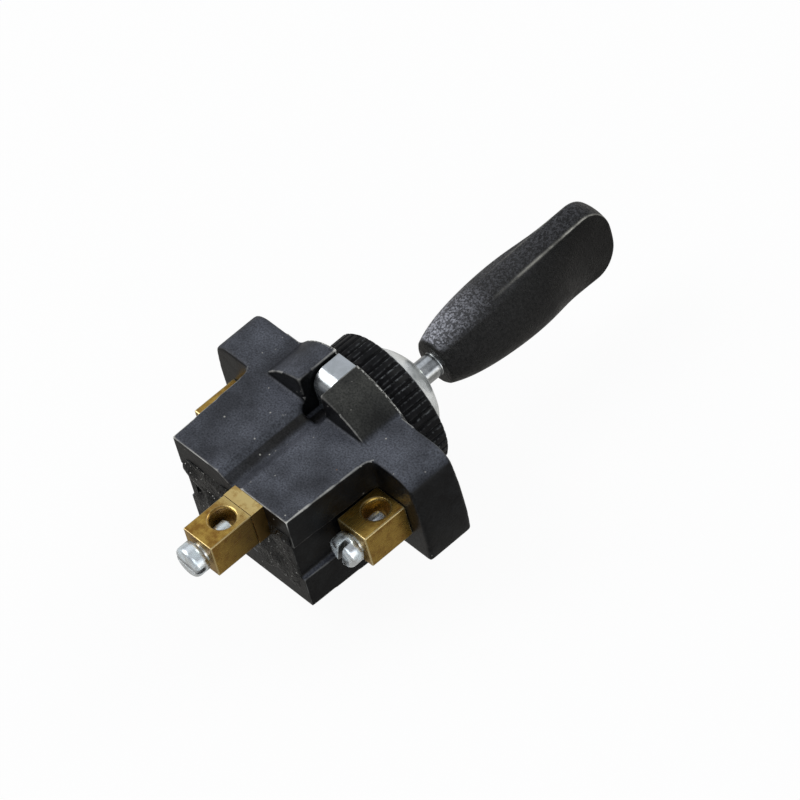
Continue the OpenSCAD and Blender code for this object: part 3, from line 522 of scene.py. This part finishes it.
# Nickel, handled for years: pale and soft, so that it shows lamps as broad patches and no sharp image.
worn_nickel, tree, mm = start("worn nickel plate")
bloom = add(tree, "ShaderNodeTexNoise", {"Vector": mm, "Scale": 1 / 2.4, "Detail": 4.0,
    "Roughness": 0.6}).outputs["Fac"]
colour = add(tree, "ShaderNodeMix", {0: (bloom, 0.35, 0.65), 6: linear("#cfd2d0"), 7: linear("#eef0ef")},
    data_type="RGBA").outputs[2]
shader = add(tree, "ShaderNodeBsdfPrincipled", {"Base Color": colour, "Metallic": (bloom, 0.3, 0.7, 0.62, 0.45),
    "Roughness": (bloom, 0.3, 0.7, 0.2, 0.3)})
add(tree, "ShaderNodeOutputMaterial", {"Surface": shader.outputs["BSDF"]})
finish_cad("nose_cap", worn_nickel, 0.08)


# Lever: a plated steel stem on a pin across the neck, with a spring plunger and roller in its tail.
# A dished shutter slides on the stem under the dome and closes the slot.

# Bright nickel: mirror bright with a faint haze, so that the stem shows its lamps as stripes.
nickel, tree, mm = start("bright nickel plate")
bloom = add(tree, "ShaderNodeTexNoise", {"Vector": mm, "Scale": 1 / 1.6, "Detail": 5.0,
    "Roughness": 0.65}).outputs["Fac"]
colour = add(tree, "ShaderNodeMix", {0: (bloom, 0.35, 0.65), 6: linear("#b4b8b8"), 7: linear("#dfe2e2")},
    data_type="RGBA").outputs[2]
bump = add(tree, "ShaderNodeBump", {"Height": bloom, "Strength": 0.1, "Distance": 0.02 * MM})
shader = add(tree, "ShaderNodeBsdfPrincipled", {"Base Color": colour, "Metallic": (bloom, 0.3, 0.7, 1.0, 0.85),
    "Roughness": (bloom, 0.3, 0.7, 0.12, 0.26), "Normal": bump.outputs["Normal"]})
add(tree, "ShaderNodeOutputMaterial", {"Surface": shader.outputs["BSDF"]})
finish_cad("lever_stem", nickel, 0.1)

# Drawn steel: mid grey with lines along the pin, drawn at 0.15 mm so that they show.
steel, tree, mm = start("drawn steel")
drawn = add(tree, "ShaderNodeMapping", {"Vector": mm, "Scale": (1.0, 1.0, 0.1)})
lines = add(tree, "ShaderNodeTexNoise", {"Vector": drawn.outputs["Vector"], "Scale": 1 / 0.15,
    "Detail": 2.0}).outputs["Fac"]
colour = add(tree, "ShaderNodeMix", {0: (lines, 0.3, 0.7), 6: linear("#83868a"), 7: linear("#a9acb0")},
    data_type="RGBA").outputs[2]
shader = add(tree, "ShaderNodeBsdfPrincipled", {"Base Color": colour, "Metallic": 1.0,
    "Roughness": (lines, 0.3, 0.7, 0.25, 0.4)})
add(tree, "ShaderNodeOutputMaterial", {"Surface": shader.outputs["BSDF"]})
finish_cad("pivot_pin", steel, 0.1)
finish_cad("plunger_spring", steel, 0)

# Silver plate, satin: pale and soft, so that the shutter shows light through the dome's slot.
satin, tree, mm = start("satin silver plate")
cloud = add(tree, "ShaderNodeTexNoise", {"Vector": mm, "Scale": 1 / 0.8, "Detail": 4.0}).outputs["Fac"]
colour = add(tree, "ShaderNodeMix", {0: (cloud, 0.35, 0.65), 6: linear("#dcdcd6"), 7: linear("#f4f4f1")},
    data_type="RGBA").outputs[2]
shader = add(tree, "ShaderNodeBsdfPrincipled", {"Base Color": colour, "Metallic": 0.3,
    "Roughness": (cloud, 0.35, 0.65, 0.45, 0.6)})
add(tree, "ShaderNodeOutputMaterial", {"Surface": shader.outputs["BSDF"]})
finish_cad("dust_shutter", satin, 0.06)


# Stem collar: the plated shoulder that the paddle is moulded against.
# It is turned in one with the stem, and only its rounded edge shows at the paddle's base.
COLLAR = [(1.9, -13.8), (1.98, -13.8), (2.03, -13.83), (2.05, -13.88), (2.05, -14.2), (1.9, -14.2)]
points = turned(COLLAR)
object_from("stem_collar", points, grid_faces(*points.shape[:2], closed_rows=True, closed_columns=True), "lever",
    nickel, corner=60)


# Paddle: a black plastic grip, round at its base and flattened to a thin rounded tip.
# It is moulded round the stem with a pebbled grain, and use has rubbed its creases pale; the pale line is partly a
# painted highlight.
PADDLE_Y, PADDLE_LEN, PADDLE_BASE, PADDLE_FLARE = -14.0, 34.9, 7.6, 14.5
EARLY_SWELL, EARLY_LEN, BASE_LEN, BASE_DROP = 0.66, 5.2, 0.25, 0.22
TIP_LEN, TIP_R, TIP_POWER, TIP_T, LIP_LEN, LIP_SHARE = 5.0, 0.6, 2.2, 4.3, 0.7, 0.3
THIN_AT, THIN_SOFT, CREASE, CROWD = 23.5, 3.2, 0.12, 1.7
RUB_WIDTH, RUB_FROM, RUB_RISE, RUB_FAR = 0.22, 11, 16, 0.4


def paddle(rows=190):
    """Paddle: a turned form R(s) whose sides, beyond a band as wide as the tip is thick, are drawn in to flats.

    R swells early by an exponential and then in a straight line, and closes at the tip on a power curve. At the
    distance s from the base, x = R cos(angle) and z = R sin(angle). What x has beyond half the thickness is
    multiplied by a share that falls from 1 at the base to 0 at the tip, so that the creases start crisp at the tip and
    fade out. The points of a section crowd towards its four creases. The end rows close the base and the tip.
    """
    s = PADDLE_LEN * (1 - (1 - np.linspace(0, 1, rows)) ** CROWD)[:, None]
    flare = EARLY_SWELL * (1 - np.exp(-s / EARLY_LEN)) + (1 - EARLY_SWELL) * s / PADDLE_LEN
    end = np.clip((s - PADDLE_LEN + TIP_LEN) / TIP_LEN, 0, 1)
    base = np.clip(1 - s / BASE_LEN, 0, 1)
    radius = PADDLE_BASE / 2 + (PADDLE_FLARE - PADDLE_BASE) / 2 * flare
    radius = radius - (PADDLE_FLARE / 2 - TIP_R) * (1 - np.sqrt(1 - end ** TIP_POWER))
    radius = radius - BASE_DROP * (1 - np.sqrt(1 - base ** 2))
    lip = np.clip((s - PADDLE_LEN + LIP_LEN) / LIP_LEN, 0, 1)
    half = TIP_T / 2 * (1 - LIP_SHARE + LIP_SHARE * np.sqrt(1 - lip ** 2))
    side = np.sin(np.linspace(-np.pi / 2, np.pi / 2, 100, endpoint=False))[None, :]
    band = np.sin(np.linspace(-np.pi / 2, np.pi / 2, 44, endpoint=False))[None, :]
    corner = np.arccos(np.minimum(half / radius, 0.95))
    right, top = corner * side, np.pi / 2 + (np.pi / 2 - corner) * band
    angle = np.hstack([right, top, right + np.pi, top + np.pi])
    x, z = radius * np.cos(angle), radius * np.sin(angle)
    share = 1 / (1 + np.exp((s - THIN_AT) / THIN_SOFT))
    over = np.abs(x) - half
    x = np.sign(x) * (np.abs(x) - (1 - share) * CREASE * np.logaddexp(0, over / CREASE))
    wear = np.exp(-(over / RUB_WIDTH) ** 2) * np.clip((s - RUB_FROM) / RUB_RISE, 0, 1)
    wear = wear * np.where(x < 0, 1.0, RUB_FAR)
    grid = np.stack([x, np.broadcast_to(PADDLE_Y - s, x.shape), z, wear], -1)
    ends = grid[[0, -1]] * [0, 1, 0, 1]
    return np.concatenate([ends[:1], grid, ends[1:]])


# Grip moulding: black plastic with a glinting pebbled grain, creases rubbed pale and partly painted as highlights, and
# a painted highlight on what faces up.
# The pebbles are about 0.2 mm, and are drawn at 0.26 mm so that they show.
grip, tree, mm = start("grained grip moulding")
pebble = add(tree, "ShaderNodeTexVoronoi", {"Vector": mm, "Scale": 1 / 0.26}, feature="F1").outputs
mottle = add(tree, "ShaderNodeTexNoise", {"Vector": mm, "Scale": 1 / 0.5, "Detail": 4.0,
    "Roughness": 0.7}).outputs["Fac"]
patch = add(tree, "ShaderNodeTexNoise", {"Vector": mm, "Scale": 1 / 2.4, "Detail": 3.0}).outputs["Fac"]
normal = add(tree, "ShaderNodeTexCoord").outputs["Normal"]
facing = add(tree, "ShaderNodeVectorMath", {0: normal, 1: (0.45, 0.0, 0.89)}, operation="DOT_PRODUCT").outputs["Value"]
along = add(tree, "ShaderNodeSeparateXYZ", {"Vector": mm}).outputs["Y"]
edge = add(tree, "ShaderNodeAttribute", attribute_name="edge").outputs["Fac"]
colour = add(tree, "ShaderNodeMix", {0: (mottle, 0.36, 0.66), 6: linear("#121211"), 7: linear("#262524")},
    data_type="RGBA").outputs[2]
# Painted shade: the colour darkens towards the tip.
tip_shade = add(tree, "ShaderNodeMix", {0: (along, -42.0, -28.0), 6: linear("#8c8c8c"), 7: linear("#ffffff")},
    data_type="RGBA").outputs[2]
colour = add(tree, "ShaderNodeMix", {0: 1.0, 6: colour, 7: tip_shade}, data_type="RGBA", blend_type="MULTIPLY").outputs[2]
draw = add(tree, "ShaderNodeSeparateColor", {"Color": pebble["Color"]}).outputs
# Painted highlight: pale specks on the side facing up towards the lamps, strongest near the base.
lit_highlight = add(tree, "ShaderNodeMath", {0: (facing, 0.45, 0.95), 1: (draw["Red"], 0.35, 0.9, 0.18, 0.94)},
    operation="MULTIPLY").outputs[0]
lit_highlight = add(tree, "ShaderNodeMath", {0: lit_highlight, 1: (along, -26.0, -16.0, 0.12, 1.0)}, operation="MULTIPLY").outputs[0]
lit_highlight = add(tree, "ShaderNodeMath", {0: lit_highlight, 1: (along, -14.6, -14.25, 1.0, 0.0)}, operation="MULTIPLY").outputs[0]
colour = add(tree, "ShaderNodeMix", {0: lit_highlight, 6: colour, 7: linear("#bcbdc6")}, data_type="RGBA").outputs[2]
# Creases rubbed pale, and partly a painted highlight.
rubbed_and_highlit = add(tree, "ShaderNodeMath", {0: edge, 1: (patch, 0.38, 0.6, 0.3, 1.0)}, operation="MULTIPLY").outputs[0]
colour = add(tree, "ShaderNodeMix", {0: rubbed_and_highlit, 6: colour, 7: linear("#b4b1a8")}, data_type="RGBA").outputs[2]
grain = add(tree, "ShaderNodeBump", {"Height": pebble["Distance"], "Strength": 0.8, "Distance": 0.13 * MM})
tooth = add(tree, "ShaderNodeBump", {"Height": mottle, "Strength": 0.8, "Distance": 0.25 * MM,
    "Normal": grain.outputs["Normal"]})
shader = add(tree, "ShaderNodeBsdfPrincipled", {"Base Color": colour, "Roughness": (patch, 0.35, 0.65, 0.26, 0.42),
    "Specular IOR Level": 0.16, "Normal": tooth.outputs["Normal"]})
add(tree, "ShaderNodeOutputMaterial", {"Surface": shader.outputs["BSDF"]})
points = paddle()
object_from("paddle_grip", points, grid_faces(*points.shape[:2], closed_columns=True), "lever", grip,
    ["lever_paddle"])


# Ring nut: turned from steel bar, straight knurled for the fingers, and blacked.
# It is screwed on the neck, and clamps the panel from the front.
RING_R, RING_BORE, RING_Y, RING_LEN, CHAMFER, ROUNDING = 11.9, 9.55, -0.2, 5.7, 0.3, 0.06
TEETH, TOOTH_AT, GROOVE_DEPTH, GROOVE_HALF, RUN_OUT = 44, 0.43, 0.42, 0.22, 0.3


def knurled_ring():
    """Ring nut: a closed section carried round the axis; its outer rows sink by a V groove at each tooth's edge.

    A section's row gives radius, distance from the back and share of the groove's depth. The fourth column of the
    points is how far the black is rubbed off, and partly a painted highlight: the lit edge of a groove twice as much as
    the other, and each tooth by its own draw.
    """
    back = [(RING_BORE, CHAMFER, 0), (RING_BORE + CHAMFER, 0, 0), (RING_R - 2 * CHAMFER, 0, 0),
        (RING_R - CHAMFER, ROUNDING, RUN_OUT), (RING_R, CHAMFER + ROUNDING, 1)]
    front = [(radius, RING_LEN - y, share) for radius, y, share in back[::-1]]
    section = np.array([*back, (RING_R, RING_LEN / 2, 1), *front])
    within = np.array([-0.5, -0.35, -0.24, -0.2, -0.1, 0, 0.1, 0.2, 0.24, 0.35])
    turn = ((np.arange(TEETH)[:, None] + within + TOOTH_AT) / TEETH).ravel()
    groove = np.tile(GROOVE_DEPTH * np.clip(1 - np.abs(within) / GROOVE_HALF, 0, 1), TEETH)
    radius = section[:, :1] - section[:, 2:] * groove
    angle = 2 * np.pi * turn
    y = np.broadcast_to(RING_Y - section[:, 1:2], radius.shape)
    uneven = np.repeat(np.random.default_rng(5).uniform(0.3, 1.0, TEETH), len(within))
    beside = np.isclose(np.abs(within), GROOVE_HALF, atol=0.03)
    # Painted highlight: the lit edge of each groove is marked twice as strongly as the other.
    edges = np.tile(beside * np.where(within > 0, 1.0, 0.5), TEETH)
    rub_and_highlight = edges * uneven * (section[:, 2:] == 1) + 0.8 * (section[:, 2:] == RUN_OUT)
    return np.stack([radius * np.cos(angle), y, radius * np.sin(angle), rub_and_highlight], -1)


# Blacked steel: dark satin with bare metal showing faintly where the knurl's edges are rubbed, and a painted highlight
# along the lit edge of each groove.
blacked, tree, mm = start("blacked steel")
scuff = add(tree, "ShaderNodeTexNoise", {"Vector": mm, "Scale": 1 / 0.6, "Detail": 5.0,
    "Roughness": 0.65}).outputs["Fac"]
edge = add(tree, "ShaderNodeAttribute", attribute_name="edge").outputs["Fac"]
worn = add(tree, "ShaderNodeMath", {0: (edge, 0.15, 0.9), 1: (scuff, 0.44, 0.6, 0.0, 0.9)},
    operation="MULTIPLY").outputs[0]
colour = add(tree, "ShaderNodeMix", {0: (scuff, 0.35, 0.65), 6: linear("#0a0a0b"), 7: linear("#141416")},
    data_type="RGBA").outputs[2]
colour = add(tree, "ShaderNodeMix", {0: worn, 6: colour, 7: linear("#66686a")}, data_type="RGBA").outputs[2]
bump = add(tree, "ShaderNodeBump", {"Height": scuff, "Strength": 0.5, "Distance": 0.04 * MM})
shader = add(tree, "ShaderNodeBsdfPrincipled", {"Base Color": colour, "Roughness": (scuff, 0.3, 0.7, 0.36, 0.5),
    "Specular IOR Level": 0.1, "Normal": bump.outputs["Normal"]})
add(tree, "ShaderNodeOutputMaterial", {"Surface": shader.outputs["BSDF"]})
points = knurled_ring()
object_from("knurled_ring", points, grid_faces(*points.shape[:2], closed_rows=True, closed_columns=True), "ring",
    blacked, ["ring_nut"])


# Stage: a plain pale floor just under the boss, a pale surround and four soft lamps.
# The floor and the surround show white to the camera, and the floor keeps a little of the shadow.
# The camera looks at the back and top from the photograph's angle.
FLOOR_Z, FLOOR_HALF, FLOOR_GLOW = -15.0 * MM, 3.0, 0.94
floor_mesh = bpy.data.meshes.new("floor")
floor_mesh.from_pydata([(-FLOOR_HALF, -FLOOR_HALF, FLOOR_Z), (FLOOR_HALF, -FLOOR_HALF, FLOOR_Z),
    (FLOOR_HALF, FLOOR_HALF, FLOOR_Z), (-FLOOR_HALF, FLOOR_HALF, FLOOR_Z)], [], [(0, 1, 2, 3)])
floor = bpy.data.objects.new("floor", floor_mesh)
bpy.context.scene.collection.objects.link(floor)

# White paper: matte, and shown to the camera as nearly white.
paper, tree, _ = start("white paper")
matte = add(tree, "ShaderNodeBsdfPrincipled", {"Base Color": linear("#ececec"), "Roughness": 0.9})
glow = add(tree, "ShaderNodeEmission", {"Color": (1, 1, 1, 1), "Strength": 1.0})
seen = add(tree, "ShaderNodeLightPath").outputs["Is Camera Ray"]
mixed = add(tree, "ShaderNodeMixShader", {0: (seen, 0.0, 1.0, 0.0, FLOOR_GLOW), 1: matte.outputs["BSDF"],
    2: glow.outputs["Emission"]})
add(tree, "ShaderNodeOutputMaterial", {"Surface": mixed.outputs[0]})
floor_mesh.materials.append(paper)
floor.visible_glossy = False

# The surround is brighter above, ahead of the lever, low at the sides and in a strip at the far right.
world = bpy.data.worlds.new("surround")
bpy.context.scene.world = world
world.use_nodes = True
tree = world.node_tree
tree.nodes.clear()
toward = add(tree, "ShaderNodeSeparateXYZ", {"Vector": add(tree, "ShaderNodeTexCoord").outputs["Generated"]}).outputs
above = add(tree, "ShaderNodeMath", {0: (toward["Z"], -0.1, 0.7, 0.0, 0.32), 1: (toward["Z"], 0.8, 0.95, 1.0, 0.7)},
    operation="MULTIPLY").outputs[0]
ahead = add(tree, "ShaderNodeMath", {0: (toward["Y"], -0.9, -0.45, 0.5, 0.0), 1: (toward["Z"], -0.6, -0.25, 0.35, 1.0)},
    operation="MULTIPLY").outputs[0]
below = add(tree, "ShaderNodeMath", {0: (toward["X"], -0.6, 0.5, 0.3, 0.38), 1: (toward["Z"], -0.1, 0.4, 1.0, 0.0)},
    operation="MULTIPLY").outputs[0]
level = add(tree, "ShaderNodeMath", {0: above, 1: ahead}, operation="ADD").outputs[0]
level = add(tree, "ShaderNodeMath", {0: level, 1: below}, operation="ADD").outputs[0]
level = add(tree, "ShaderNodeMath", {0: level, 1: (toward["X"], -0.97, -0.88, 1.7, 0.0)}, operation="ADD").outputs[0]
tint = add(tree, "ShaderNodeMix", {0: (toward["Z"], -0.3, 0.3), 6: linear("#fdfaf5"), 7: linear("#f4f7ff")},
    data_type="RGBA").outputs[2]
seen = add(tree, "ShaderNodeLightPath").outputs["Is Camera Ray"]
level = add(tree, "ShaderNodeMix", {0: seen, 2: level, 3: 1.0}, data_type="FLOAT").outputs[0]
tint = add(tree, "ShaderNodeMix", {0: seen, 6: tint, 7: (1, 1, 1, 1)}, data_type="RGBA").outputs[2]
sky = add(tree, "ShaderNodeBackground", {"Color": tint, "Strength": level})
add(tree, "ShaderNodeOutputWorld", {"Surface": sky.outputs["Background"]})


def lamp(name, place, size, power, colour):
    """A square soft lamp of this size in metres and power in watts that faces the object."""
    data = bpy.data.lights.new(name, "AREA")
    data.size = size
    data.energy = power
    data.color = linear(colour)[:3]
    made = bpy.data.objects.new(name, data)
    made.location = place
    made.rotation_euler = (-Vector(place)).to_track_quat("-Z", "Y").to_euler()
    bpy.context.scene.collection.objects.link(made)


lamp("overhead", (0.52, -0.26, 0.78), 0.8, 0.8, "#edf2fb")
lamp("room", (-0.72, 0.50, 0.48), 0.7, 2.0, "#f1f9ff")
lamp("window", (0.54, 0.42, 0.64), 0.7, 5.0, "#ffffff")
lamp("fill", (-0.20, -0.72, 0.66), 0.4, 2.4, "#fbfff6")

VIEW_FROM = Vector((-0.58023, 0.32129, 0.74841))
AIM = Vector((-2.13, -5.30, 1.21)) * MM
ROLL, AWAY = np.radians(-16.98), 1.25
camera_data = bpy.data.cameras.new("camera")
camera_data.lens = 377.6
camera_data.sensor_width = 36
camera_data.clip_start = 0.1
camera = bpy.data.objects.new("camera", camera_data)
level_x = Vector((0, 0, 1)).cross(VIEW_FROM).normalized()
level_y = VIEW_FROM.cross(level_x)
axes = (level_x * np.cos(ROLL) + level_y * np.sin(ROLL), level_y * np.cos(ROLL) - level_x * np.sin(ROLL), VIEW_FROM)
camera.matrix_world = Matrix.Translation(AIM + VIEW_FROM * AWAY) @ Matrix(axes).transposed().to_4x4()
bpy.context.scene.collection.objects.link(camera)
bpy.context.scene.camera = camera
bpy.context.scene.view_settings.view_transform = "Standard"
